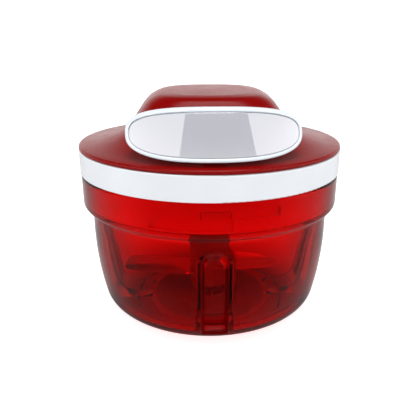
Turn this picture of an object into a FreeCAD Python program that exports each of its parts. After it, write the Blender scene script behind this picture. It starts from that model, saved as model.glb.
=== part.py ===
import FreeCAD, Part
import math
import os

# A hand-pull food chopper: a clear red bowl on a soft foot pad, a blade unit that turns on
# a steel pin, and a bayonet lid with a pull handle, cord spool and recoil spring.
# Millimetres. +Z is up, the origin is the centre of the foot's resting face, and the
# pull handle faces -Y.

# ---- driving dimensions ----
WALL = 2.4              # general moulding thickness
COLLAR_R = 63.2         # bowl collar, outside
COLLAR_BORE = 60.8      # bowl collar, inside
COLLAR_Z = (56.4, 72.9)
STEP_Z = 59.0           # ledge inside the collar that carries the seal
BOWL_R = 58.8           # bowl wall under the collar, outside
BOWL_BORE = 56.4
FLOOR_Z = (1.8, 4.2)    # bowl floor, underside and inside
RIM_Z = 0.4             # hard base rim, just above the soft pad
FOOT_R = 31.0           # soft non-slip pad let into the underside
FOOT_Z = 2.3

QUARTERS = (0, 90, 180, 270)
FLUTE_HALF = 5.3        # half width of the outside flutes
FLUTE_Z = (8.0, 49.6)   # from a ledge at the foot to the top of the round end
FLUTE_SKIN = 2.0        # wall left between a flute and the inside

LUG_Z = (65.4, 68.6)    # bayonet lugs inside the collar
LUG_SPAN = 11.6
LUG_R = 59.5
LUG_POCKET_R = 62.0     # each lug is cored by a shallow pocket from outside

SEAL_T = 1.2
SKIRT_R = (57.7, 60.3)  # lid skirt that enters the collar
TRACK_R = 59.1
BAND_R = 63.6           # white band round the lid
BAND_Z = (73.2, 84.5)
DECK_Z = (62.0, 64.4)   # lid floor

PIN_R = 3.0             # blade pin
PIN_Z = (2.8, 31.5)
HUB_R = 10.5
HUB_Z = (9.9, 60.0)
SOCKET_R = 9.0          # drive socket in the top of the hub
SOCKET_Z = 50.0
RUN = 0.05              # radial clearance of running fits

DOG_R = 8.6             # drive dog under the lid
CORE_R = 4.0
LUG_WIDE = 40.0         # width of each driving and driven lug, degrees
DOG_Z = 52.0

JOURNAL_R = 7.5         # spool's lower bearing
BUSH_R = 9.05
TUBE_R = 11.5           # bearing tube on the lid floor
TUBE_TOP = 70.0
SPOOL_FLANGE_R = 25.0
DRUM_R = 16.0
DRUM_Z = (90.8, 98.2)
AXLE_R = 2.5            # fixed pin above the spool
CUP_R = 31.0            # recoil spring housing
CUP_TOP = 77.5
SPRING_Z = (66.2, 75.6)
SPRING_T = 0.35
SPRING_HALF_PITCH = 0.75
SPRING_TURNS = 10

COVER_Z = 84.6          # underside of the cover's rim
LIP_R = (58.6, 60.9)    # locating ring inside the band
LIP_Z = 78.0
GRIP_Z = (91.0, 110.4)
GRIP_SLOPE = 0.045      # the grip's top drops this much per mm towards the front
POST_R = 46.0           # circle of the four cover screws
POST_Z = 79.4
SCREW_TIP = 86.4
CORD_R = 1.0
CORD_Z = 95.0
WIND_R = 19.0           # radius at which the cord leaves the winding
NOSE_R = 5.0            # nose on the cover that holds the cord guide
NOSE_Y = -48.5
GUIDE_Y = (-32.0, -49.8)
GUIDE_BORE = 1.7
BEND_Y = -33.5          # where the cord turns into the guide
BEND_R = 10.0

HANDLE_A = 36.7         # half width of the pull handle
HANDLE_B = 10.2         # its half height
HANDLE_MID = 98.9
HANDLE_POWER = 2.76     # 2 is an ellipse, more is squarer
HANDLE_DROOP = 0.0008   # its ends bend down by this times x squared
HANDLE_FOOT = (61.2, 88.0)
HANDLE_HEAD = (51.8, 110.4)
SHELL_T = 3.2
BACK_T = 3.2
PANEL_T = 1.0

BLADE_T = 0.9
LOWER_BLADE_Z = 17.0
UPPER_BLADE_Z = 20.4


# ---- helpers ----
def turned(outline):
    """A full turn about Z of an outline in (radius, height). An item is the next point,
    or a pair (middle, end) for an arc."""
    start = FreeCAD.Vector(outline[0][0], 0, outline[0][1])
    edges, here = [], start
    for item in outline[1:] + [outline[0]]:
        curved = isinstance(item[0], tuple)
        end = item[1] if curved else item
        there = FreeCAD.Vector(end[0], 0, end[1])
        if curved:
            middle = FreeCAD.Vector(item[0][0], 0, item[0][1])
            edges.append(Part.Arc(here, middle, there).toShape())
        else:
            edges.append(Part.LineSegment(here, there).toShape())
        here = there
    face = Part.Face(Part.Wire(edges))
    return face.revolve(FreeCAD.Vector(0, 0, 0), FreeCAD.Vector(0, 0, 1), 360)


def disc(radius, low, high, x=0.0, y=0.0):
    return Part.makeCylinder(radius, high - low, FreeCAD.Vector(x, y, low))


def ring(inner, outer, low, high, x=0.0, y=0.0):
    return disc(outer, low, high, x, y).cut(disc(inner, low - 1, high + 1, x, y))


def rod_y(radius, back, front, x, z):
    """A round bar along Y, from back to front, where front is the smaller y."""
    start = FreeCAD.Vector(x, front, z)
    return Part.makeCylinder(radius, back - front, start, FreeCAD.Vector(0, 1, 0))


def turn(shape, degrees):
    copy = shape.copy()
    copy.rotate(FreeCAD.Vector(0, 0, 0), FreeCAD.Vector(0, 0, 1), degrees)
    return copy


def sector(inner, outer, low, high, middle, width):
    """Part of a ring, width degrees wide, with its middle at that angle from +X."""
    along = FreeCAD.Vector(0, 0, 1)
    whole = Part.makeCylinder(outer, high - low, FreeCAD.Vector(0, 0, low), along, width)
    return turn(whole.cut(disc(inner, low - 1, high + 1)), middle - width / 2)


def oval(a, b, power, place, points=48):
    """A closed smooth curve, |u/a|^power + |v/b|^power = 1, put in space by place(u, v)."""
    found = []
    for i in range(points):
        t = 2 * math.pi * i / points
        c, s = math.cos(t), math.sin(t)
        size = (abs(c) ** power + abs(s) ** power) ** (-1 / power)
        found.append(place(a * size * c, b * size * s))
    curve = Part.BSplineCurve()
    curve.interpolate(Points=found, PeriodicFlag=True)
    return Part.Wire(curve.toShape())


def front_prism(points, back, front):
    """A polygon in (x, z), given as points, run along Y between back and front."""
    corners = [FreeCAD.Vector(x, back, z) for x, z in points]
    face = Part.Face(Part.makePolygon(corners + corners[:1]))
    return face.extrude(FreeCAD.Vector(0, front - back, 0))


def arch(half, foot, top):
    """An upright arch, half wide on each side of x = 0, with a round top."""
    middle = top - half
    body = Part.makeBox(2 * half, 44, middle - foot, FreeCAD.Vector(-half, -70, foot))
    return body.fuse(rod_y(half, -26, -70, 0, middle))


def screw(head_r, head_z, shank_r, tip_z, x=0.0, y=0.0):
    """A vertical screw: its head from head_z[0] to head_z[1], its shank on to tip_z."""
    root = head_z[1] if tip_z > head_z[1] else head_z[0]
    shank = disc(shank_r, min(root, tip_z), max(root, tip_z), x, y)
    return disc(head_r, head_z[0], head_z[1], x, y).fuse(shank).removeSplitter()


def round_the_axis(radius, first, count):
    """count points on a circle about Z, the first at that angle from +X."""
    steps = [math.radians(first + 360 * i / count) for i in range(count)]
    return [(radius * math.cos(t), radius * math.sin(t)) for t in steps]


# ---- bowl ----
def flute_bed(skin):
    """Everything outside the back of the flutes, skin nearer to the axis."""
    s = skin
    return turned([
        (33.0 - s, -2), (33.0 - s, 4.4 + s), (41.0 - 0.3 * s, 5.6 + s),
        ((46.2 - 0.7 * s, 8.0 + 0.7 * s), (49.6 - s, 15.0)),
        ((52.4 - s, 27.0), (54.0 - s, 39.0)), (54.6 - s, 54.0), (70, 54.0), (70, -2),
    ])


def flutes(skin, foot):
    one = flute_bed(skin).common(arch(FLUTE_HALF + skin, foot, FLUTE_Z[1] + skin))
    return Part.makeCompound([turn(one, q) for q in QUARTERS])


def bowl():
    outside = turned([
        (0, FLOOR_Z[0]), (38.0, FLOOR_Z[0]), (38.4, RIM_Z), (42.6, RIM_Z),
        (50.2, 5.1), ((53.2, 8.1), (54.9, 12.2)),
        ((57.6, 27.0), (BOWL_R, 48.0)), (BOWL_R, 53.6),
        ((59.3, 55.8), (60.5, COLLAR_Z[0])), ((62.5, 57.1), (63.1, 58.8)),
        (COLLAR_R, COLLAR_Z[1]), (0, COLLAR_Z[1]),
    ])
    inside = turned([
        (0, FLOOR_Z[1]), (39.5, FLOOR_Z[1]), ((49.4, 8.3), (53.5, 18.2)),
        ((55.4, 33.0), (BOWL_BORE, 48.0)), (BOWL_BORE, STEP_Z), (COLLAR_BORE, STEP_Z),
        (COLLAR_BORE, 80), (0, 80),
    ])
    # inside, the back of each flute runs down to the floor, so that the bowl leaves its mould
    shell = outside.cut(flutes(0, FLUTE_Z[0])).cut(inside.cut(flutes(FLUTE_SKIN, -2)))
    boss = turned([(0, 3.0), (9.0, 3.0), (9.0, 4.2), (6.2, 9.2), (0, 9.2)])
    shell = shell.fuse(boss).cut(disc(PIN_R, PIN_Z[0], 12))
    shell = shell.cut(disc(FOOT_R, -1, FOOT_Z))
    for q in QUARTERS:
        shell = shell.fuse(sector(LUG_R, 62.0, LUG_Z[0], LUG_Z[1], q, LUG_SPAN))
        shell = shell.cut(sector(LUG_POCKET_R, 66.0, LUG_Z[0] + 0.7, LUG_Z[1] - 0.7, q, LUG_SPAN - 1.6))
    return shell.removeSplitter()


def foot_pad():
    return turned([(0, 0), (FOOT_R - 0.8, 0), ((FOOT_R - 0.2, 0.2), (FOOT_R, 0.8)), (FOOT_R, FOOT_Z),
                   (0, FOOT_Z)])


def blade_pin():
    pin = disc(PIN_R, PIN_Z[0], PIN_Z[1])
    return pin.makeChamfer(0.6, [e for e in pin.Edges if e.BoundBox.ZMin > PIN_Z[1] - 0.1])


def thrust_washer():
    return ring(PIN_R + RUN, 5.6, 9.2, 9.8)


# ---- blade unit ----
def blade(outline, low):
    """A flat blade cut to an outline in (x, y)."""
    corners = [FreeCAD.Vector(x, y, low) for x, y in outline]
    plate = Part.Face(Part.makePolygon(corners + corners[:1]))
    plate = plate.extrude(FreeCAD.Vector(0, 0, BLADE_T))
    return plate.cut(disc(PIN_R + 1.4, low - 1, low + 3))


def lower_blade():
    return blade([
        (7.0, 6.5), (-9.0, 8.0), (-26.0, 11.4), (-44.0, 12.2), (-45.7, 5.0),
        (-45.8, -2.4), (-30.0, -6.8), (-9.0, -11.0), (5.0, -7.0),
    ], LOWER_BLADE_Z)


def upper_blade():
    return blade([
        (-7.0, -6.5), (9.0, -13.0), (22.0, -12.4), (34.4, -9.6), (35.4, -5.6),
        (30.6, 2.4), (23.4, 9.2), (14.0, 12.0), (6.0, 8.0), (-5.0, 7.0),
    ], UPPER_BLADE_Z)


def blade_hub():
    hub = disc(HUB_R, HUB_Z[0], HUB_Z[1])
    hub = hub.cut(disc(PIN_R + RUN, HUB_Z[0] - 1, PIN_Z[1] + 1))
    hub = hub.cut(disc(SOCKET_R, SOCKET_Z, HUB_Z[1] + 1))
    for side in (90, 270):
        hub = hub.fuse(sector(4.6, 9.6, SOCKET_Z - 0.5, 56.6, side, LUG_WIDE))
    return hub.cut(lower_blade()).cut(upper_blade()).removeSplitter()


# ---- lid ----
def lid_seal():
    """A flat ring on the bowl's ledge, with a lip that stays inside the skirt."""
    low, top = STEP_Z, STEP_Z + SEAL_T
    return turned([
        (57.0, low), (60.3, low), (60.3, top), (57.5, top), (57.5, 61.8), (57.0, 61.8),
    ])


def bayonet_tracks():
    """Four L-shaped channels in the skirt: a wide flared entry, then a level run."""
    view = [
        (-28.2, 59.0), (-27.2, 61.6), (-25.4, 64.8), (-23.0, 67.4), (-19.5, 68.9),
        (26.8, 68.9), (26.8, 65.1), (6.8, 65.1), (6.8, 59.0),
    ]
    one = front_prism(view, -40, -70).common(ring(TRACK_R, 62, 58, 72))
    return Part.makeCompound([turn(one, q) for q in QUARTERS])


def lid_base():
    low = STEP_Z + SEAL_T
    pan = turned([
        (SKIRT_R[0], low), (SKIRT_R[1], low), (SKIRT_R[1], BAND_Z[0]),
        (BAND_R - 0.6, BAND_Z[0]), ((BAND_R - 0.17, BAND_Z[0] + 0.17), (BAND_R, BAND_Z[0] + 0.6)),
        (BAND_R, BAND_Z[1] - 0.6), ((BAND_R - 0.17, BAND_Z[1] - 0.17), (BAND_R - 0.6, BAND_Z[1])),
        (BAND_R - WALL, BAND_Z[1]),
        (BAND_R - WALL, BAND_Z[0] + 2.2), (55.4, BAND_Z[0] + 2.2), (55.4, DECK_Z[1]),
        (0, DECK_Z[1]), (0, DECK_Z[0]), (SKIRT_R[0], DECK_Z[0]),
    ])
    pan = pan.fuse(disc(TUBE_R, DECK_Z[0], TUBE_TOP))
    for x, y in round_the_axis(POST_R, 45, 4):
        pan = pan.fuse(disc(4.2, DECK_Z[0], POST_Z, x, y))
        pan = pan.cut(disc(2.9, DECK_Z[0] - 1, POST_Z - 1.8, x, y))
        pan = pan.cut(disc(1.5, POST_Z - 2, POST_Z + 1, x, y))
    for x, y in round_the_axis(35, 90, 3):
        pan = pan.cut(disc(1.2, 62.8, 70, x, y))
    pan = pan.cut(disc(BUSH_R, 60, 80))
    return pan.cut(bayonet_tracks()).removeSplitter()


def spool_bush():
    return ring(JOURNAL_R + RUN, BUSH_R, DECK_Z[0], TUBE_TOP)


def shaft_seal():
    return ring(CORE_R + 0.1, 7.2, 60.6, DECK_Z[0])


def grip(inset):
    """The raised hand grip on the cover: stacked ovals, its top dropping to the front."""
    layers = [
        (91.0, 42.0, 34.5), (94.0, 39.4, 32.2), (97.0, 37.0, 30.6), (100.0, 34.9, 29.4),
        (103.0, 32.9, 28.4), (106.0, 30.8, 27.6), (108.2, 28.6, 26.7), (109.7, 25.6, 25.0),
        (110.4, 22.4, 22.4),
    ]
    wires = []
    for z, a, b in layers:
        rise = (z - GRIP_Z[0]) / (GRIP_Z[1] - GRIP_Z[0])
        slope, drop = GRIP_SLOPE * rise, inset * rise

        def place(u, v, z=z - drop, slope=slope):
            return FreeCAD.Vector(u, v, z + slope * v)

        wires.append(oval(a - inset, b - inset, 3.0, place))
    return Part.makeLoft(wires, True, False)


def dome():
    """The cover's round outside: a rolled rim, then a hollow slope up to the grip."""
    return turned([
        (0, COVER_Z), (63.5, COVER_Z), (63.5, 85.2), ((63.3, 86.1), (62.4, 86.5)),
        ((50.0, 89.2), (36.0, 95.9)), (30.0, 99.4), (0, 99.4),
    ])


def dome_room():
    """The hollow under the dome, down through the cover's locating ring."""
    return turned([
        (0, LIP_Z - 1), (LIP_R[0], LIP_Z - 1), (LIP_R[0], 84.2),
        ((49.2, 86.6), (35.0, 93.4)), (30.0, 96.4), (0, 96.4),
    ])


def top_cover():
    nose = rod_y(NOSE_R, -28, NOSE_Y, 0, CORD_Z)
    foot = Part.makeBox(2 * NOSE_R, 20, 8, FreeCAD.Vector(-NOSE_R, NOSE_Y, CORD_Z - 8))
    lip = disc(LIP_R[1], LIP_Z, COVER_Z + 0.2)
    outside = dome().fuse(grip(0)).fuse(lip).fuse(nose).fuse(foot)
    cover = outside.cut(dome_room().fuse(grip(WALL)))
    # posts are trimmed to the outside, so that none shows above the cover
    posts = [disc(6.5, 103.6, 111)]
    posts += [disc(3.9, POST_Z, 100, x, y) for x, y in round_the_axis(POST_R, 45, 4)]
    for post in posts:
        cover = cover.fuse(post.common(outside.fuse(disc(58, LIP_Z, 86))))
    cover = cover.cut(disc(AXLE_R, 96, 108))
    for x, y in round_the_axis(POST_R, 45, 4):
        cover = cover.cut(disc(1.25, POST_Z - 1, SCREW_TIP, x, y))
    return cover.cut(rod_y(3.2, -26, -52, 0, CORD_Z)).removeSplitter()


def cord_guide():
    """A flanged eyelet in the cover's nose that the cord runs through."""
    tube = rod_y(3.2, GUIDE_Y[0], GUIDE_Y[1], 0, CORD_Z)
    lip = rod_y(4.4, NOSE_Y, GUIDE_Y[1], 0, CORD_Z)
    mouth = Part.makeCone(GUIDE_BORE, 3.0, 3, FreeCAD.Vector(0, GUIDE_Y[0] - 3, CORD_Z),
                          FreeCAD.Vector(0, 1, 0))
    bore = rod_y(GUIDE_BORE, -30, -52, 0, CORD_Z)
    return tube.fuse(lip).cut(bore).cut(mouth).removeSplitter()


def axle_pin():
    return disc(AXLE_R, 97.0, 108.0)


def cover_screws():
    places = round_the_axis(POST_R, 45, 4)
    return Part.makeCompound([screw(2.7, (75.4, 77.6), 1.25, SCREW_TIP, x, y) for x, y in places])


def spring_cup():
    """The recoil spring's housing, open below, on a flange with three screw holes."""
    cup = turned([
        (29.4, DECK_Z[1]), (38.5, DECK_Z[1]), (38.5, 66.4), (CUP_R, 66.4), (CUP_R, CUP_TOP),
        (13.4, CUP_TOP), (13.4, 76.1), (29.4, 76.1),
    ])
    for x, y in round_the_axis(35, 90, 3):
        cup = cup.cut(disc(1.2, 60, 70, x, y))
    return cup


def cup_screws():
    places = round_the_axis(35, 90, 3)
    return Part.makeCompound([screw(2.4, (66.4, 67.9), 1.2, 63.0, x, y) for x, y in places])


def recoil_spring():
    """A flat spiral of half circles, each half pitch larger than the last."""
    h, half = SPRING_HALF_PITCH, SPRING_T / 2
    walls = []
    for side in (-half, half):
        edges, r = [], 13.4
        for k in range(2 * SPRING_TURNS):
            upper = k % 2 == 0
            centre = 0.0 if upper else h
            size = r + side
            sign = 1 if upper else -1
            ends = [FreeCAD.Vector(centre + sign * size, 0, SPRING_Z[0]),
                    FreeCAD.Vector(centre, sign * size, SPRING_Z[0]),
                    FreeCAD.Vector(centre - sign * size, 0, SPRING_Z[0])]
            edges.append(Part.Arc(*ends).toShape())
            r += h
        walls.append(edges)
    inner, outer = walls
    tips = [
        Part.LineSegment(inner[0].valueAt(inner[0].FirstParameter),
                         outer[0].valueAt(outer[0].FirstParameter)).toShape(),
        Part.LineSegment(inner[-1].valueAt(inner[-1].LastParameter),
                         outer[-1].valueAt(outer[-1].LastParameter)).toShape(),
    ]
    outline = Part.Wire(Part.__sortEdges__(inner + outer + tips))
    return Part.Face(outline).extrude(FreeCAD.Vector(0, 0, SPRING_Z[1] - SPRING_Z[0]))


# ---- spool ----
def spool():
    rim = SPOOL_FLANGE_R
    return turned([
        (CORE_R, 62.4), (JOURNAL_R, 62.4), (JOURNAL_R, 78.2), (11.9, 78.2), (11.9, 66.0),
        (13.0, 66.0), (13.0, DRUM_Z[0] - 1.6), (rim, DRUM_Z[0] - 1.6), (rim, DRUM_Z[0]),
        (DRUM_R, DRUM_Z[0]), (DRUM_R, DRUM_Z[1]), (rim, DRUM_Z[1]), (rim, DRUM_Z[1] + 1.6),
        (6.0, DRUM_Z[1] + 1.6), (6.0, 103.0), (AXLE_R + RUN, 103.0), (AXLE_R + RUN, 96.6),
        (CORE_R, 96.6),
    ])


def drive_dog():
    dog = disc(CORE_R, DOG_Z, 72.0).fuse(disc(DOG_R, 57.0, 58.6))
    for side in (0, 180):
        dog = dog.fuse(sector(3.0, DOG_R, DOG_Z, 57.2, side, LUG_WIDE))
    return dog.cut(disc(1.4, 50, 66)).removeSplitter()


def dog_screw():
    return screw(2.8, (51.0, DOG_Z), 1.4, 66.0)


def spool_washer():
    return ring(AXLE_R + RUN, 6.0, 103.05, 103.55)


def cord_winding():
    return ring(DRUM_R, WIND_R - CORD_R - 0.05, DRUM_Z[0] + 0.1, DRUM_Z[1] - 0.1)


def cord_tube(edges, start, along):
    """A round cord along straight and tangent arc edges."""
    section = Part.Wire(Part.makeCircle(CORD_R, start, along))
    return Part.Wire(edges).makePipeShell([section], True, True)


def cord_run():
    """From the winding's tangent point to the guide, round one arc, to its mouth."""
    leave_y = WIND_R ** 2 / BEND_Y
    leave = FreeCAD.Vector(-math.sqrt(WIND_R ** 2 - leave_y ** 2), leave_y, CORD_Z)
    corner = FreeCAD.Vector(0, BEND_Y, CORD_Z)
    come = (corner - leave).normalize()
    go = FreeCAD.Vector(0, -1, 0)
    half = math.acos(come.dot(go)) / 2
    cut = BEND_R * math.tan(half)
    enter, out = corner - come * cut, corner + go * cut
    inward = (go - come).normalize()
    middle = corner + inward * (BEND_R / math.cos(half) - BEND_R)
    end = FreeCAD.Vector(0, GUIDE_Y[1], CORD_Z)
    edges = [
        Part.LineSegment(leave, enter).toShape(),
        Part.Arc(enter, middle, out).toShape(),
        Part.LineSegment(out, end).toShape(),
    ]
    return cord_tube(edges, leave, come)


# ---- pull handle ----
def handle_band(near, far):
    """A leaning band about Z, between two depths behind the handle's front face."""
    (r0, z0), (r1, z1) = HANDLE_FOOT, HANDLE_HEAD
    middle = ((r0 + r1) / 2 + 0.5, (z0 + z1) / 2)
    return turned([
        (r0 - near, z0), ((middle[0] - near, middle[1]), (r1 - near, z1)),
        (r1 - far, z1), ((middle[0] - far, middle[1]), (r0 - far, z0)),
    ])


def handle_block(margin):
    """The handle's oval outline, smaller by margin, run along Y."""
    def place(u, v):
        return FreeCAD.Vector(u, -34, HANDLE_MID + v - HANDLE_DROOP * u * u)

    wire = oval(HANDLE_A - margin, HANDLE_B - margin, HANDLE_POWER, place)
    return Part.Face(wire).extrude(FreeCAD.Vector(0, -34, 0))


def knot_room():
    return Part.makeSphere(2.7, FreeCAD.Vector(0, -54.9, CORD_Z))


def handle_screw_places():
    return [(side * 19.0, 98.0) for side in (-1, 1)]


def handle_shell():
    shell = handle_band(0, SHELL_T).common(handle_block(0))
    shell = shell.cut(handle_band(-1, PANEL_T).common(handle_block(1.7)))
    shell = shell.cut(knot_room())
    for x, z in handle_screw_places():
        shell = shell.cut(rod_y(1.1, -40, -52.4, x, z))
    return shell


def handle_panel():
    return handle_band(0.1, PANEL_T).common(handle_block(1.9))


def handle_back():
    back = handle_band(SHELL_T, SHELL_T + BACK_T).common(handle_block(1.6))
    back = back.cut(knot_room()).cut(rod_y(CORD_R + 0.1, -48, -56, 0, CORD_Z))
    for x, z in handle_screw_places():
        back = back.cut(rod_y(1.1, -40, -54, x, z)).cut(rod_y(2.3, -40, -48.6, x, z))
    return back


def handle_screws():
    made = []
    for x, z in handle_screw_places():
        made.append(rod_y(2.2, -47.2, -48.6, x, z).fuse(rod_y(1.1, -48.6, -52.3, x, z)))
    return Part.makeCompound([s.removeSplitter() for s in made])


def cord_lead():
    """The cord's outer end, from the guide's mouth to a knot inside the handle."""
    lead = rod_y(CORD_R, GUIDE_Y[1], -54.9, 0, CORD_Z)
    return lead.fuse(Part.makeSphere(2.5, FreeCAD.Vector(0, -54.9, CORD_Z)))


NODES = [
    bowl, foot_pad, blade_pin, thrust_washer,
    blade_hub, lower_blade, upper_blade,
    lid_seal,
    lid_base, top_cover, cover_screws, cord_guide, spool_bush, shaft_seal,
    axle_pin, spring_cup, cup_screws, recoil_spring, cord_run,
    spool, drive_dog, dog_screw, spool_washer, cord_winding,
    handle_shell, handle_panel, handle_back, handle_screws, cord_lead,
]

os.makedirs("parts", exist_ok=True)
for make in NODES:
    shape = make()
    name = make.__name__
    count = len(shape.Solids)
    print(f"{name}: {count} solid(s), {shape.Volume:.0f} mm3, valid {shape.isValid()}")
    shape.exportStep(f"parts/{name}.step")
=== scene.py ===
import math

import bmesh
import bpy
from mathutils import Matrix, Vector


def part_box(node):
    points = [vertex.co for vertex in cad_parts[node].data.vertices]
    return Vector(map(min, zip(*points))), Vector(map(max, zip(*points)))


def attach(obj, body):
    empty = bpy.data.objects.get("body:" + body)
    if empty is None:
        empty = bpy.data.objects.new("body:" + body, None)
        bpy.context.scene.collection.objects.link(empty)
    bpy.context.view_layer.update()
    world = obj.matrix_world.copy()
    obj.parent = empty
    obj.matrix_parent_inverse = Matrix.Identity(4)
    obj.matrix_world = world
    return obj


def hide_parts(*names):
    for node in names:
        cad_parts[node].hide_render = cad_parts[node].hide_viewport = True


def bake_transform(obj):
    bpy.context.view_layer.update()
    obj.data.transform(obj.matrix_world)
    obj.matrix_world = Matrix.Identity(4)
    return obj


# The looks of a hand-pull food chopper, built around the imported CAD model. Shapes are
# worked out in millimetres and turned to metres when a mesh is made. +Z is up, the bowl's
# axis is Z and the pull handle faces -Y.

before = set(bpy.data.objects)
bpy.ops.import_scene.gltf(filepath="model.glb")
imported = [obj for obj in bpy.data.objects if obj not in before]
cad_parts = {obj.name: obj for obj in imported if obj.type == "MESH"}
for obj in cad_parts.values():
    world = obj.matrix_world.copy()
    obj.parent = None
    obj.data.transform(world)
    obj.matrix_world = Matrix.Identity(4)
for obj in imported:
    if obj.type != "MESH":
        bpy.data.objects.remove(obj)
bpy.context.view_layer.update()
MM = 0.001


def low(node, axis):
    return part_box(node)[0]["xyz".index(axis)] / MM


def high(node, axis):
    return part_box(node)[1]["xyz".index(axis)] / MM


# ---- sizes, in millimetres ----
QUARTERS = (0, 90, 180, 270)
COLLAR_R = high("bowl", "x")
COLLAR_TOP = high("bowl", "z")
COLLAR_FOOT = 56.4
COLLAR_BORE = 60.8
LEDGE_Z = low("lid_seal", "z")
BOWL_R = 58.8
BOWL_BORE = 56.4
UNDERSIDE_Z = 1.8
FLOOR_Z = 4.2
RIM_Z = low("bowl", "z")
FOOT_R = high("foot_pad", "x")
FOOT_TOP = high("foot_pad", "z")
PIN_R = high("blade_pin", "x")
PIN_FOOT = low("blade_pin", "z")
BOSS_TOP = 9.2

FLUTE_HALF = 5.3
FLUTE_Z = (8.0, 49.6)
FLUTE_SKIN = 2.0
FLUTE_EDGE = (0.9, 2.6)     # width of the rounded edge round a flute, outside and inside
LUG_HALF = 6.2
LUG_R = 59.5
LUG_Z = (65.4, 68.6)
LUG_POCKET = 1.1        # depth of the pocket outside each lug
POCKET_HALF = LUG_HALF - 0.9
POCKET_Z = (LUG_Z[0] + 0.6, LUG_Z[1] - 0.7)

COVER_R = high("top_cover", "x")
COVER_Z = 84.6
LIP_R = (58.6, 60.9)
LIP_Z = low("top_cover", "z")
GRIP_Z = (91.0, 110.4)
GRIP_SLOPE = 0.045
COVER_WALL = 2.4
NOSE_HALF = 5.0
NOSE_BACK = -28.0
NOSE_FRONT = low("cord_guide", "y") + 1.3
CORD_R = 1.0
CORD_Z = 95.0

HANDLE_A = high("handle_shell", "x")
HANDLE_B = 10.2
HANDLE_MID = 98.9
HANDLE_POWER = 2.76
HANDLE_DROOP = 0.0008
HANDLE_FOOT = (61.2, 88.0)
HANDLE_HEAD = (51.8, 110.4)
SHELL_T = 3.2
BACK_T = 3.2
PANEL_T = 1.0


# ---- shape helpers ----
def clamp(value, least=0.0, most=1.0):
    return max(least, min(most, value))


def ease(t):
    t = clamp(t)
    return t * t * (3 - 2 * t)


def mix(a, b, t):
    return a + (b - a) * t


def smooth_max(a, b, blend):
    """The larger of two numbers, with a rounded change over from one to the other."""
    spare = max(blend - abs(a - b), 0.0) / blend
    return max(a, b) + spare * spare * blend / 4


def circle_centre(a, b, c):
    """The centre of the circle through three points of a plane."""
    (ax, ay), (bx, by), (cx, cy) = a, b, c
    d = 2 * (ax * (by - cy) + bx * (cy - ay) + cx * (ay - by))
    a2, b2, c2 = ax * ax + ay * ay, bx * bx + by * by, cx * cx + cy * cy
    x = (a2 * (by - cy) + b2 * (cy - ay) + c2 * (ay - by)) / d
    y = (a2 * (cx - bx) + b2 * (ax - cx) + c2 * (bx - ax)) / d
    return x, y


def sampled(outline, step):
    """Evenly spaced points along an outline. An item is the next point, or a pair
    (middle, end) for an arc. step is a length, or a function of a point giving one."""
    gap = step if callable(step) else (lambda x, y: step)
    found = [outline[0]]
    for item in outline[1:]:
        start = found[-1]
        if isinstance(item[0], tuple):
            middle, end = item
            x0, y0 = circle_centre(start, middle, end)
            radius = math.dist((x0, y0), start)
            first = math.atan2(start[1] - y0, start[0] - x0)
            sweep = math.remainder(math.atan2(end[1] - y0, end[0] - x0) - first, 2 * math.pi)
            count = max(2, round(abs(sweep) * radius / gap(*middle)))
            for i in range(1, count + 1):
                t = first + sweep * i / count
                found.append((x0 + radius * math.cos(t), y0 + radius * math.sin(t)))
        else:
            centre = ((start[0] + item[0]) / 2, (start[1] + item[1]) / 2)
            count = max(1, round(math.dist(start, item) / gap(*centre)))
            for i in range(1, count + 1):
                found.append((mix(start[0], item[0], i / count), mix(start[1], item[1], i / count)))
    return found


def softened(points, passes, closed=False):
    """The same points with the corners between them rounded."""
    for _ in range(passes):
        fresh = []
        for i, (x, y) in enumerate(points):
            if not closed and i in (0, len(points) - 1):
                fresh.append((x, y))
                continue
            (ax, ay), (bx, by) = points[i - 1], points[(i + 1) % len(points)]
            fresh.append(((ax + 2 * x + bx) / 4, (ay + 2 * y + by) / 4))
        points = fresh
    return points


def make_piece(name, vertices, faces, sharp=None):
    """A smooth-shaded mesh object from points in millimetres."""
    mesh = bpy.data.meshes.new(name)
    mesh.from_pydata([Vector(v) * MM for v in vertices], [], faces)
    mesh.validate()
    shape = bmesh.new()
    shape.from_mesh(mesh)
    bmesh.ops.recalc_face_normals(shape, faces=shape.faces)
    shape.to_mesh(mesh)
    shape.free()
    mesh.polygons.foreach_set("use_smooth", [True] * len(mesh.polygons))
    if sharp:
        mesh.set_sharp_from_angle(angle=math.radians(sharp))
    made = bpy.data.objects.new(name, mesh)
    bpy.context.scene.collection.objects.link(made)
    return made


def skin(name, rows, around=True, join_ends=False, sharp=None):
    """A mesh through rows of points. A row of one point is a pole."""
    vertices, starts, faces = [], [], []
    for row in rows:
        starts.append(len(vertices))
        vertices.extend(row)
    pairs = list(zip(range(len(rows)), range(1, len(rows))))
    if join_ends:
        pairs.append((len(rows) - 1, 0))
    for one, two in pairs:
        a, b = rows[one], rows[two]
        size = max(len(a), len(b))
        for i in range(size if around else size - 1):
            j = (i + 1) % size
            ring_a = [starts[one]] if len(a) == 1 else [starts[one] + j, starts[one] + i]
            ring_b = [starts[two]] if len(b) == 1 else [starts[two] + i, starts[two] + j]
            faces.append(ring_a + ring_b)
    return make_piece(name, vertices, faces, sharp)


def lathe(name, outline, columns=128, join_ends=True, sharp=None):
    """A full turn of an outline in (radius, height)."""
    rows = []
    for r, z in outline:
        angles = [2 * math.pi * i / columns for i in range(columns)]
        rows.append([(r * math.cos(t), r * math.sin(t), z) for t in angles] if r > 0 else [(0, 0, z)])
    return skin(name, rows, join_ends=join_ends, sharp=sharp)


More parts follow.
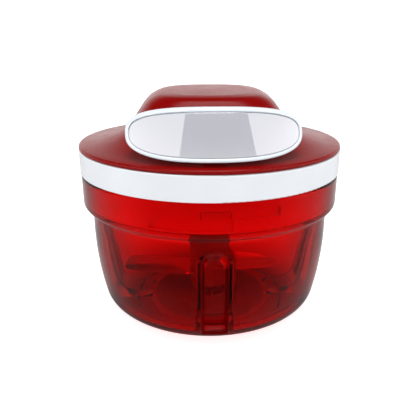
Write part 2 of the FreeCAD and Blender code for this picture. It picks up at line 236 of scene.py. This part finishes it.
def tube(name, path, radius, columns=14):
    """A round cord along a path, with closed ends."""
    rows = [[path[0]]]
    up = Vector((0, 0, 1))
    for i, point in enumerate(path):
        before, after = path[max(i - 1, 0)], path[min(i + 1, len(path) - 1)]
        along = (Vector(after) - Vector(before)).normalized()
        side = along.cross(up).normalized()
        top = side.cross(along)
        ring = []
        for k in range(columns):
            t = 2 * math.pi * k / columns
            ring.append(Vector(point) + side * radius * math.cos(t) + top * radius * math.sin(t))
        rows.append(ring)
    rows.append([path[-1]])
    return skin(name, rows)


# ---- materials ----
def new_material(name):
    made = bpy.data.materials.new(name)
    made.use_nodes = True
    return made, made.node_tree, made.node_tree.nodes["Principled BSDF"]


def add(tree, kind, **values):
    node = tree.nodes.new(kind)
    for key, value in values.items():
        if key in node.inputs:
            node.inputs[key].default_value = value
        else:
            setattr(node, key, value)
    return node


def noise_of(tree, scale, detail=3.0, stretch=None):
    """Noise in the piece's own coordinates, scale in cycles per metre."""
    place = add(tree, "ShaderNodeTexCoord")
    source = place.outputs["Object"]
    if stretch:
        mapping = add(tree, "ShaderNodeMapping", Scale=stretch)
        tree.links.new(source, mapping.inputs["Vector"])
        source = mapping.outputs["Vector"]
    noise = add(tree, "ShaderNodeTexNoise", Scale=scale, Detail=detail)
    tree.links.new(source, noise.inputs["Vector"])
    return noise.outputs["Fac"]


def ranged(tree, source, start, end):
    """A 0 to 1 value turned to the range from start to end."""
    node = add(tree, "ShaderNodeMapRange")
    node.inputs["From Min"].default_value = 0.3
    node.inputs["From Max"].default_value = 0.7
    node.inputs["To Min"].default_value = start
    node.inputs["To Max"].default_value = end
    tree.links.new(source, node.inputs["Value"])
    return node.outputs["Result"]


def tinted(tree, source, dark, light):
    ramp = add(tree, "ShaderNodeValToRGB")
    ramp.color_ramp.elements[0].color = (*dark, 1)
    ramp.color_ramp.elements[0].position = 0.3
    ramp.color_ramp.elements[1].color = (*light, 1)
    ramp.color_ramp.elements[1].position = 0.7
    tree.links.new(source, ramp.inputs["Fac"])
    return ramp.outputs["Color"]


def bumped(tree, shader, source, strength, depth_mm):
    bump = add(tree, "ShaderNodeBump", Strength=strength, Distance=depth_mm * MM)
    tree.links.new(source, bump.inputs["Height"])
    tree.links.new(bump.outputs["Normal"], shader.inputs["Normal"])


def shaded(colour, factor):
    return tuple(c * factor for c in colour)


def plastic(name, colour, rough, grain=0.0, grain_scale=2600.0, specular=0.5, coat=0.0):
    """A moulded plastic: faint colour drift, uneven gloss and, if asked, a fine grain."""
    made, tree, shader = new_material(name)
    drift = noise_of(tree, 38, 2)
    tree.links.new(tinted(tree, drift, shaded(colour, 0.965), shaded(colour, 1.02)),
                   shader.inputs["Base Color"])
    tree.links.new(ranged(tree, noise_of(tree, 160, 4), rough * 0.9, rough * 1.1),
                   shader.inputs["Roughness"])
    shader.inputs["Specular IOR Level"].default_value = specular
    shader.inputs["Coat Weight"].default_value = coat
    shader.inputs["Coat Roughness"].default_value = 0.04
    shader.inputs["Coat IOR"].default_value = 2.1
    if grain:
        bumped(tree, shader, noise_of(tree, grain_scale, 2), grain, 0.05)
    return made


def ground_steel(name, colour, rough, direction):
    """Sheet steel with fine grinding lines along one axis."""
    made, tree, shader = new_material(name)
    lines = noise_of(tree, 3600, 3, stretch=direction)
    tree.links.new(tinted(tree, lines, shaded(colour, 0.94), shaded(colour, 1.03)),
                   shader.inputs["Base Color"])
    tree.links.new(ranged(tree, lines, rough * 0.9, rough * 1.1), shader.inputs["Roughness"])
    shader.inputs["Metallic"].default_value = 1.0
    bumped(tree, shader, lines, 0.02, 0.02)
    return made


def clear_plastic(name, shell, edge, depth_colour, density, shadow):
    """A clear tinted plastic: colour builds up with the depth of plastic passed through, and
    faces seen edge-on are deeper, in the edge colour. Lamps shine through each face of it,
    dimmed to the shadow colour, and light what is inside."""
    made, tree, shader = new_material(name)
    slant = add(tree, "ShaderNodeLayerWeight", Blend=0.5)
    ramp = add(tree, "ShaderNodeValToRGB")
    ramp.color_ramp.elements[0].color = (*shell, 1)
    ramp.color_ramp.elements[0].position = 0.3
    ramp.color_ramp.elements[1].color = (*edge, 1)
    ramp.color_ramp.elements[1].position = 0.75
    tree.links.new(slant.outputs["Facing"], ramp.inputs["Fac"])
    tree.links.new(ramp.outputs["Color"], shader.inputs["Base Color"])
    shader.inputs["Roughness"].default_value = 0.02
    shader.inputs["Transmission Weight"].default_value = 1.0
    shader.inputs["IOR"].default_value = 1.24
    shader.inputs["Specular Tint"].default_value = (1.0, 0.2, 0.2, 1)
    output = tree.nodes["Material Output"]
    path = add(tree, "ShaderNodeLightPath")
    through = add(tree, "ShaderNodeBsdfTransparent", Color=(*shadow, 1))
    choice = add(tree, "ShaderNodeMixShader")
    tree.links.new(path.outputs["Is Shadow Ray"], choice.inputs["Fac"])
    tree.links.new(shader.outputs["BSDF"], choice.inputs[1])
    tree.links.new(through.outputs["BSDF"], choice.inputs[2])
    tree.links.new(choice.outputs["Shader"], output.inputs["Surface"])
    depth = add(tree, "ShaderNodeVolumeAbsorption", Color=(*depth_colour, 1), Density=density)
    tree.links.new(depth.outputs["Volume"], output.inputs["Volume"])
    return made


def braided(name, colour):
    """Braided cord: two crossing sets of diagonal ridges, with painted shade darkening the hollows between
    them.
    """
    made, tree, shader = new_material(name)
    place = add(tree, "ShaderNodeTexCoord")
    waves = []
    for tilt in (1, -1):
        mapping = add(tree, "ShaderNodeMapping", Scale=(1, 1, tilt))
        tree.links.new(place.outputs["Object"], mapping.inputs["Vector"])
        wave = add(tree, "ShaderNodeTexWave", Scale=420.0, Distortion=0.6, bands_direction="DIAGONAL")
        tree.links.new(mapping.outputs["Vector"], wave.inputs["Vector"])
        waves.append(wave.outputs["Fac"])
    both = add(tree, "ShaderNodeMath", operation="MAXIMUM")
    tree.links.new(waves[0], both.inputs[0])
    tree.links.new(waves[1], both.inputs[1])
    weave = both.outputs["Value"]
    # the hollows between the ridges are painted darker, down to 0.55 of the colour: painted shade
    tree.links.new(tinted(tree, weave, shaded(colour, 0.55), colour), shader.inputs["Base Color"])
    shader.inputs["Roughness"].default_value = 0.8
    shader.inputs["Sheen Weight"].default_value = 0.3
    bumped(tree, shader, weave, 0.6, 0.2)
    return made


RED_BODY = clear_plastic("clear_red", (1.0, 0.1, 0.1), edge=(0.16, 0.005, 0.005),
                         depth_colour=(0.975, 0.02, 0.02), density=1300.0, shadow=(1.0, 0.02, 0.02))
RED_COVER = plastic("red_cover", (0.21, 0.0012, 0.001), 0.25, grain=0.08, grain_scale=3600.0,
                    specular=0.11)
WHITE = plastic("white_gloss", (0.72, 0.77, 0.83), 0.14, specular=0.5)
# the lid base is the same white plastic as white_gloss; this lighter copy is painted light, making its
# band and the skirt seen through the collar look brighter lit
WHITE_LIT_COPY = plastic("white_gloss_lit", (0.80, 0.83, 0.87), 0.14, specular=0.5)
# the handle's inlay is white; its mid-grey base is painted reflection, standing in for the grey
# surroundings it mirrors, darker than the inlay's own white
PANEL = plastic("panel_gloss", (0.49, 0.49, 0.54), 0.03, specular=0.6, coat=1.0)
NYLON = plastic("nylon", (0.74, 0.73, 0.68), 0.42, grain=0.08)
HUB = plastic("hub_plastic", (0.22, 0.006, 0.006), 0.35, grain=0.08, specular=0.15)
SOFT_GREY = plastic("soft_grey", (0.30, 0.31, 0.32), 0.65, grain=0.2, specular=0.35)
SOFT_PALE = plastic("soft_pale", (0.74, 0.74, 0.74), 0.5, grain=0.1, specular=0.35)
BLADE_STEEL = ground_steel("blade_steel", (0.62, 0.63, 0.65), 0.25, (0.04, 1.0, 1.0))
SCREW_STEEL = ground_steel("screw_steel", (0.58, 0.58, 0.60), 0.3, (1.0, 1.0, 0.2))
SPRING_STEEL = ground_steel("spring_steel", (0.20, 0.22, 0.27), 0.35, (0.2, 0.2, 1.0))
CORD = braided("cord", (0.80, 0.79, 0.75))


def finish_piece(piece, material, slot, body, *replaced):
    """Paints a piece, ties it to its body and hides the CAD nodes it replaces. The slot argument is not
    used.
    """
    piece.data.materials.append(material)
    if body:
        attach(piece, body)
    if replaced:
        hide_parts(*replaced)
    return piece


# ---- bowl ----
FOCUS = (30.0, 22.0)    # a place inside the bowl's section that sees all of its wall


def flute_bed(skin_depth):
    """The back of the flutes in (radius, height), skin_depth nearer to the axis."""
    s = skin_depth
    base = UNDERSIDE_Z if s == 0 else FLOOR_Z
    return sampled([
        (31.8 - s, base), (33.4 - s, 4.4 + s), (41.0 - 0.3 * s, 5.6 + s),
        ((46.2 - 0.7 * s, 8.0 + 0.7 * s), (49.6 - s, 15.0)),
        ((52.4 - s, 27.0), (54.0 - s, 39.0)), (54.6 - s, 62.0),
    ], 0.4)


def seen_from_focus(point):
    """(angle, distance) of a section point from the focus. Angles run up from below."""
    x, y = point[0] - FOCUS[0], point[1] - FOCUS[1]
    return math.atan2(x, -y), math.hypot(x, y)


def pushed_to(bed, point):
    """A wall point moved towards the focus until it lies on the flute's back."""
    angle, distance = seen_from_focus(point)
    for (angle_a, size_a), (angle_b, size_b) in zip(bed, bed[1:]):
        if angle_a <= angle < angle_b:
            reach = mix(size_a, size_b, (angle - angle_a) / (angle_b - angle_a))
            t = min(1.0, reach / distance)
            return mix(FOCUS[0], point[0], t), mix(FOCUS[1], point[1], t)
    return point


def in_arch(u, z, half, foot, top, edge):
    """1 inside an upright arch with a round top, 0 outside, eased over its edge."""
    middle = top - half
    depth = half - abs(u) if z < middle else half - math.hypot(u, z - middle)
    return ease(depth / edge + 0.5) * ease((z - foot) / 0.6 + 0.5)


def in_box(u, z, half, span, edge=0.5):
    """1 inside a rectangle, 0 outside, eased over its edge."""
    across = ease((half - abs(u)) / edge + 0.5)
    return across * ease((z - span[0]) / edge + 0.5) * ease((span[1] - z) / edge + 0.5)


def flute_columns(radius):
    """Angles round the bowl whose lines follow the flutes' straight sides. They are
    closest together at the edges of the flutes and the ends of the lugs."""
    sides = [0.0, 1.3, 2.6, 3.6, 4.2]
    sides += [4.6 + 0.2 * i for i in range(12)]
    sides += [7.15 + 0.4 * i for i in range(7)]
    sides += [10.6, 11.9]
    near = [math.asin(u / max(radius, 33.0)) for u in sides]
    rest = 12
    last = near[-1]
    far = [mix(last, math.pi / 4, (i + 1) / rest) for i in range(rest)]
    half = near + far
    quarter = [-a for a in reversed(half[1:-1])] + half
    return [math.radians(q) + a for q in QUARTERS for a in quarter]


def bowl_step(r, z):
    """Finer rows where the wall has small shapes."""
    if 64.5 < z < 69.5 or 6.5 < z < 9.5 and r > 50:
        return 0.25
    if 40 < z < 53 and r > 50 or z < 9.5 and 28 < r < 47:
        return 0.45
    return 1.1 if z > 4.5 and r > 15 else 1.6


def bowl_shell():
    outside = softened(sampled([
        (0, FOOT_TOP), (FOOT_R, FOOT_TOP), (38.0, UNDERSIDE_Z), (38.4, RIM_Z), (42.6, RIM_Z),
        (50.2, 5.1), ((53.2, 8.1), (54.9, 12.2)), ((57.6, 27.0), (BOWL_R, 48.0)), (BOWL_R, 53.6),
        ((59.3, 55.8), (60.5, COLLAR_FOOT)), ((62.5, 57.1), (63.1, 58.8)),
        (COLLAR_R, COLLAR_TOP - 0.9), (COLLAR_R - 0.9, COLLAR_TOP),
    ], bowl_step), 1)
    inside = softened(sampled([
        (COLLAR_BORE + 0.5, COLLAR_TOP), (COLLAR_BORE, COLLAR_TOP - 0.5), (COLLAR_BORE, LEDGE_Z),
        (BOWL_BORE, LEDGE_Z), (BOWL_BORE, 48.0), ((55.4, 33.0), (53.5, 18.2)),
        ((49.4, 8.3), (39.5, FLOOR_Z)), (9.0, FLOOR_Z), (6.2, BOSS_TOP), (PIN_R, BOSS_TOP),
        (PIN_R, PIN_FOOT), (0, PIN_FOOT),
    ], bowl_step), 1)
    outer_bed = [seen_from_focus(p) for p in flute_bed(0)]
    inner_bed = [seen_from_focus(p) for p in flute_bed(FLUTE_SKIN)]
    rows = []
    for line, bed, extra, edge, foot in ((outside, outer_bed, 0, FLUTE_EDGE[0], FLUTE_Z[0]),
                                         (inside, inner_bed, FLUTE_SKIN, FLUTE_EDGE[1], -2)):
        for r, z in line:
            if r == 0:
                rows.append([(0, 0, z)])
                continue
            pushed = pushed_to(bed, (r, z))
            row = []
            for angle in flute_columns(r):
                u = r * math.sin(math.remainder(angle, math.pi / 2))
                t = in_arch(u, z, FLUTE_HALF + extra, foot, FLUTE_Z[1] + extra, edge)
                radius, height = mix(r, pushed[0], t), mix(z, pushed[1], t)
                if extra and abs(r - COLLAR_BORE) < 0.2:
                    radius -= (COLLAR_BORE - LUG_R) * in_box(u, z, LUG_HALF, LUG_Z)
                if not extra and z > LUG_Z[0]:
                    radius -= LUG_POCKET * in_box(u, z, POCKET_HALF, POCKET_Z, 0.2)
                row.append((radius * math.cos(angle), radius * math.sin(angle), height))
            rows.append(row)
    finish_piece(skin("bowl_shell", rows), RED_BODY, "clear_red", "bowl", "bowl")


# ---- cover ----
GRIP_LAYERS = [
    (86.0, 47.0, 39.0), (91.0, 42.0, 34.5), (94.0, 39.4, 32.2), (97.0, 37.0, 30.6),
    (100.0, 34.9, 29.4), (103.0, 32.9, 28.3), (105.5, 31.0, 27.2), (107.4, 29.0, 25.6),
    (108.8, 26.6, 24.0), (109.7, 24.4, 22.2), (110.2, 21.6, 19.8), (110.4, 18.4, 17.0),
]


def grip_halves(z):
    """Half width and half depth of the grip at a height."""
    for (z0, a0, b0), (z1, a1, b1) in zip(GRIP_LAYERS, GRIP_LAYERS[1:]):
        if z <= z1:
            t = clamp((z - z0) / (z1 - z0))
            return mix(a0, a1, t), mix(b0, b1, t)
    return GRIP_LAYERS[-1][1:]


def grip_radius(angle, z, inset):
    a, b = grip_halves(z)
    c, s = abs(math.cos(angle)) / (a - inset), abs(math.sin(angle)) / (b - inset)
    return (c ** 3 + s ** 3) ** (-1 / 3)


def cover_skin(dome, inset, columns):
    """Rows of the cover from its rim up to the middle of the grip's top."""
    rows = []
    angles = [2 * math.pi * i / columns for i in range(columns)]
    top = GRIP_Z[1] - inset
    for r, z in dome:
        rows.append([(r * math.cos(t), r * math.sin(t), z) for t in angles])
    dome_end = dome[-1]
    z = dome_end[1]
    while z < top:
        z = min(top, z + (0.3 if z > top - 3 else 0.55))
        row = []
        for t in angles:
            outer = dome_radius(z + inset) - inset
            grip_r = grip_radius(t, z + inset, inset)
            r = smooth_max(grip_r, outer, 4.0)
            hold = ease((grip_r - outer) / 6 + 0.5)
            rise = clamp((z - GRIP_Z[0]) / (top - GRIP_Z[0])) * hold
            row.append((r * math.cos(t), r * math.sin(t), z + GRIP_SLOPE * rise * r * math.sin(t)))
        rows.append(row)
    rim = rows[-1]
    for share in (0.97, 0.93, 0.87, 0.8, 0.7, 0.58, 0.44, 0.3, 0.15):
        lift = 0.25 * (1 - share)
        rows.append([(x * share, y * share, top + lift + GRIP_SLOPE * y * share) for x, y, z in rim])
    rows.append([(0, 0, top + 0.25)])
    return rows


DOME_LINE = sampled([(62.4, 86.5), ((50.0, 89.2), (36.0, 95.9)), (30.0, 99.4), (10.0, 110.0)], 0.5)


def dome_radius(z):
    """The dome's radius at a height, or a small one above it."""
    for (r0, z0), (r1, z1) in zip(DOME_LINE, DOME_LINE[1:]):
        if z0 <= z <= z1:
            return mix(r0, r1, (z - z0) / (z1 - z0))
    return DOME_LINE[0][0] if z < DOME_LINE[0][1] else DOME_LINE[-1][0]


def cover():
    columns = 240
    edge = softened(sampled([
        (LIP_R[1], LIP_Z), (LIP_R[1], COVER_Z), (COVER_R - 0.3, COVER_Z), (COVER_R, COVER_Z + 0.3),
        (COVER_R, 85.2), ((63.3, 86.1), (62.4, 86.5)),
    ], 0.4), 1)
    outer = cover_skin(edge, 0.0, columns)
    inner_edge = sampled([(LIP_R[0], LIP_Z), (LIP_R[0], 83.6)], 1.0)
    inner = cover_skin(inner_edge, COVER_WALL, columns)
    piece = skin("cover", outer + inner[::-1], join_ends=True)
    finish_piece(piece, RED_COVER, "red_cover", "lid", "top_cover")


def cord_nose():
    """The round-topped boss on the cover that holds the cord guide."""
    rows = []
    for y, inset in ((NOSE_BACK, 0), (NOSE_FRONT + 4, 0), (NOSE_FRONT + 0.8, 0.05),
                     (NOSE_FRONT + 0.3, 0.3), (NOSE_FRONT, 0.9)):
        half = NOSE_HALF - inset
        row = [(half, y, 88.5), (half, y, 92.0)]
        row += [(half * math.cos(math.pi * i / 20), y, CORD_Z + half * math.sin(math.pi * i / 20))
                for i in range(21)]
        row += [(-half, y, 92.0), (-half, y, 88.5)]
        rows.append(row)
    rows = [[(0, NOSE_BACK, 92)]] + rows + [[(0, NOSE_FRONT, 92)]]
    finish_piece(skin("cord_nose", rows, sharp=50), RED_COVER, "red_cover", "lid")


# ---- pull handle ----
def band_radius(z):
    """The radius about Z of the handle's front face at a height."""
    (r0, z0), (r1, z1) = HANDLE_FOOT, HANDLE_HEAD
    t = (z - z0) / (z1 - z0)
    return mix(r0, r1, t) + 2.0 * t * (1 - t)


def handle_rows(profile, columns=176, lift=0.0):
    """Rows of a handle piece. A profile item is (inset, share, depth): the outline inside
    the handle's own by inset, scaled by share, that deep behind the front face."""
    rows = []
    for inset, share, depth in profile:
        a, b = (HANDLE_A - inset) * share, (HANDLE_B - inset) * share
        row = []
        for i in range(columns if share else 1):
            t = 2 * math.pi * i / columns
            c, s = math.cos(t), math.sin(t)
            size = (abs(c) ** HANDLE_POWER + abs(s) ** HANDLE_POWER) ** (-1 / HANDLE_POWER)
            x = a * size * c
            z = HANDLE_MID + lift + b * size * s - HANDLE_DROOP * x * x
            reach = band_radius(z) - depth
            row.append((x, -math.sqrt(reach * reach - x * x), z))
        rows.append(row)
    return rows


# shares of the way from a flat end's middle to its edge, closer together near both
SPREAD = (0.0, 0.02, 0.05, 0.09, 0.14, 0.2, 0.27, 0.35, 0.43, 0.51, 0.6, 0.68, 0.76, 0.84, 0.91,
          0.96, 0.985, 1.0)


def handle_shell():
    floor = PANEL_T + 0.05
    profile = [(1.9, share, floor) for share in SPREAD]
    profile += [(1.72, 1, floor), (1.66, 1, 0.45), (1.5, 1, 0.12), (1.2, 1, 0.0), (0.7, 1, 0.02),
                (0.32, 1, 0.18), (0.1, 1, 0.5), (0.0, 1, 1.0), (0.0, 1, 1.9), (0.04, 1, 2.5),
                (0.2, 1, 2.95), (0.5, 1, SHELL_T)]
    profile += [(0.5, share, SHELL_T) for share in reversed(SPREAD)]
    piece = skin("handle_front", handle_rows(profile))
    finish_piece(piece, WHITE, "white_gloss", "handle", "handle_shell")


def handle_panel():
    profile = [(2.16, share, 0.14) for share in SPREAD]
    profile += [(2.02, 1, 0.16), (1.92, 1, 0.22), (1.88, 1, 0.34), (1.88, 1, PANEL_T)]
    profile += [(1.88, share, PANEL_T) for share in reversed(SPREAD)]
    piece = skin("handle_inlay", handle_rows(profile))
    finish_piece(piece, PANEL, "panel_gloss", "handle", "handle_panel")


def handle_back():
    deep = SHELL_T + BACK_T
    profile = [(1.6, share, SHELL_T) for share in SPREAD]
    profile += [(1.6, 1, deep - 1.0), (1.75, 1, deep - 0.5), (2.1, 1, deep - 0.12), (2.7, 1, deep)]
    profile += [(2.7, share, deep) for share in reversed(SPREAD)]
    piece = skin("handle_rear", handle_rows(profile))
    finish_piece(piece, WHITE, "white_gloss", "handle", "handle_back")


# ---- blades ----
def rounded_outline(corners, rounds=3):
    """A closed outline with its corners cut and rounded."""
    points = corners
    for _ in range(rounds):
        fresh = []
        for (ax, ay), (bx, by) in zip(points, points[1:] + points[:1]):
            fresh += [(mix(ax, bx, 0.2), mix(ay, by, 0.2)), (mix(ax, bx, 0.8), mix(ay, by, 0.8))]
        points = fresh
    return points


def blade(name, corners, bottom, edge_side):
    """A flat blade whose edge_side (+1 or -1 in y) is ground to a thin edge."""
    outline = rounded_outline(corners)
    centre_x = sum(x for x, y in outline) / len(outline)
    middle = sum(y for x, y in outline) / len(outline)
    grind = 2.6
    thick = 0.88
    thin = 0.12
    rows = [[(centre_x, middle, bottom)]]
    rows.append([(x, y, bottom) for x, y in outline])
    rows.append([(x, y, bottom + (thin if (y - middle) * edge_side > 0 else thick)) for x, y in outline])
    top = []
    for x, y in outline:
        cutting = clamp((y - middle) * edge_side / 3) * clamp((abs(x) - 11) / 4)
        top.append((x * (1 - 0.02 * cutting), y - edge_side * grind * cutting, bottom + thick))
    rows.append(top)
    rows.append([(centre_x, middle, bottom + thick)])
    return skin(name, rows, sharp=20)


def blades():
    lower = blade("lower_blade_ground", [
        (7.0, 6.5), (-9.0, 8.0), (-26.0, 11.4), (-44.0, 12.2), (-45.7, 5.0),
        (-45.8, -2.4), (-30.0, -6.8), (-9.0, -11.0), (5.0, -7.0),
    ], low("lower_blade", "z"), -1)
    finish_piece(lower, BLADE_STEEL, "steel", "blades", "lower_blade")
    upper = blade("upper_blade_ground", [
        (-7.0, -6.5), (9.0, -13.0), (22.0, -12.4), (34.4, -9.6), (35.4, -5.6),
        (30.6, 2.4), (23.4, 9.2), (14.0, 12.0), (6.0, 8.0), (-5.0, 7.0),
    ], low("upper_blade", "z"), 1)
    finish_piece(upper, BLADE_STEEL, "steel", "blades", "upper_blade")


# ---- cord ----
def cord_coil():
    """The cord on the drum, turn beside turn."""
    drum = 16.0
    first, last = low("cord_winding", "z") + CORD_R, high("cord_winding", "z") - CORD_R
    turns = 3
    steps = 72 * turns
    path = []
    for i in range(steps + 1):
        t = 2 * math.pi * i / 72
        r = drum + CORD_R * 0.95
        path.append((r * math.cos(t), r * math.sin(t), mix(first, last, i / steps)))
    finish_piece(tube("cord_coil", path, CORD_R * 0.95), CORD, "cord", "spool", "cord_winding")


def cord_end():
    """The cord from the guide's mouth to its knot in the handle. Only the knot is tied to the handle's
    body.
    """
    start, end = low("cord_guide", "y"), low("cord_lead", "y") + 2.5
    steps = 60
    path = [(0, mix(start + 1.5, end, i / steps), CORD_Z) for i in range(steps + 1)]
    piece = tube("cord_end", path, CORD_R)
    finish_piece(piece, CORD, "cord", None, "cord_lead")
    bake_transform(piece)
    ball = sampled([(0, -2.4), ((2.4, 0), (0, 2.4))], 0.4)
    knot_piece = lathe("cord_knot", ball, 24, join_ends=False)
    knot_piece.location = (0, (end + 0.2) * MM, CORD_Z * MM)
    finish_piece(knot_piece, CORD, "cord", "handle")


# ---- CAD pieces that keep their shape ----
def paint_cad():
    finishes = {
        WHITE: ("cord_guide",),
        WHITE_LIT_COPY: ("lid_base",),
        NYLON: ("thrust_washer", "spool_bush", "spring_cup", "spool", "drive_dog", "spool_washer"),
        HUB: ("blade_hub",),
        SOFT_GREY: ("shaft_seal",),
        SOFT_PALE: ("lid_seal", "foot_pad"),
        SCREW_STEEL: ("blade_pin", "cover_screws", "axle_pin", "cup_screws", "dog_screw", "handle_screws"),
        SPRING_STEEL: ("recoil_spring",),
        CORD: ("cord_run",),
    }
    for material, names in finishes.items():
        for name in names:
            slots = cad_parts[name].data.materials
            slots.clear()
            slots.append(material)


# ---- stage ----
def floor():
    """A pale floor. It glows for the camera's own rays alone, which makes it look evenly
    white without lighting the object."""
    made = skin("studio_floor", [
        [(-9000, -9000, 0), (9000, -9000, 0)], [(-9000, 9000, 0), (9000, 9000, 0)],
    ], around=False)
    white, tree, shader = new_material("studio_white")
    shader.inputs["Base Color"].default_value = (0.6, 0.6, 0.6, 1)
    shader.inputs["Roughness"].default_value = 0.9
    shader.inputs["Emission Color"].default_value = (1, 1, 1, 1)
    path = add(tree, "ShaderNodeLightPath")
    glow = add(tree, "ShaderNodeMath", operation="MULTIPLY")
    glow.inputs[1].default_value = 0.8
    tree.links.new(path.outputs["Is Camera Ray"], glow.inputs[0])
    tree.links.new(glow.outputs["Value"], shader.inputs["Emission Strength"])
    made.data.materials.append(white)


def camera():
    """At the height and distance that give the rings of the bowl their width and tilt."""
    lens = bpy.data.cameras.new("camera")
    lens.lens = 45.22
    lens.sensor_width = 36.0
    lens.shift_x = 0.0014
    lens.clip_start = 0.01
    made = bpy.data.objects.new("camera", lens)
    distance, height, pitch, azimuth = 260.0, 137.8, math.radians(18.88), math.radians(-2.6)
    made.location = Vector((math.sin(azimuth) * distance, -math.cos(azimuth) * distance, height)) * MM
    made.rotation_euler = (math.pi / 2 - pitch, 0, azimuth)
    bpy.context.scene.collection.objects.link(made)
    bpy.context.scene.camera = made


def softbox(name, azimuth, distance, low_end, high_end, width, radiance):
    """An upright flat lamp that faces the object's axis. Its distance, heights and width
    are in metres, and its power follows from how bright it looks."""
    lamp = bpy.data.lights.new(name, "AREA")
    lamp.shape = "RECTANGLE"
    lamp.size, lamp.size_y = width, high_end - low_end
    lamp.energy = radiance * math.pi * lamp.size * lamp.size_y
    made = bpy.data.objects.new(name, lamp)
    a = math.radians(azimuth)
    made.location = (math.sin(a) * distance, -math.cos(a) * distance, (low_end + high_end) / 2)
    made.rotation_euler = (math.pi / 2, 0, a)
    bpy.context.scene.collection.objects.link(made)


def overhead(azimuth, elevation, strength):
    """A very wide, soft lamp far above, the same over the whole floor."""
    lamp = bpy.data.lights.new("overhead", "SUN")
    lamp.energy = strength * math.pi
    lamp.angle = math.radians(40)
    made = bpy.data.objects.new("overhead", lamp)
    made.rotation_euler = (math.radians(90 - elevation), 0, math.radians(azimuth))
    bpy.context.scene.collection.objects.link(made)


def light():
    """A bright low backdrop all round, a dim ceiling, two softboxes and an overhead lamp."""
    world = bpy.data.worlds.new("studio")
    bpy.context.scene.world = world
    world.use_nodes = True
    tree = world.node_tree
    place = add(tree, "ShaderNodeTexCoord")
    split = add(tree, "ShaderNodeSeparateXYZ")
    tree.links.new(place.outputs["Generated"], split.inputs["Vector"])
    fade = add(tree, "ShaderNodeValToRGB")
    fade.color_ramp.interpolation = "EASE"
    fade.color_ramp.elements[0].color = (1.25, 1.25, 1.25, 1)
    fade.color_ramp.elements[0].position = 0.14
    fade.color_ramp.elements[1].color = (0.06, 0.06, 0.06, 1)
    fade.color_ramp.elements[1].position = 0.62
    tree.links.new(split.outputs["Z"], fade.inputs["Fac"])
    tree.links.new(fade.outputs["Color"], tree.nodes["Background"].inputs["Color"])
    softbox("left_box", -60, 0.9, 0.2, 1.3, 1.1, 1.5)
    softbox("right_box", 70, 0.9, 0.2, 1.3, 1.1, 1.5)
    overhead(10, 82, 0.7)
    bpy.context.scene.view_settings.view_transform = "Standard"


paint_cad()
bowl_shell()
cover()
cord_nose()
handle_shell()
handle_panel()
handle_back()
blades()
cord_coil()
cord_end()
floor()
light()
camera()
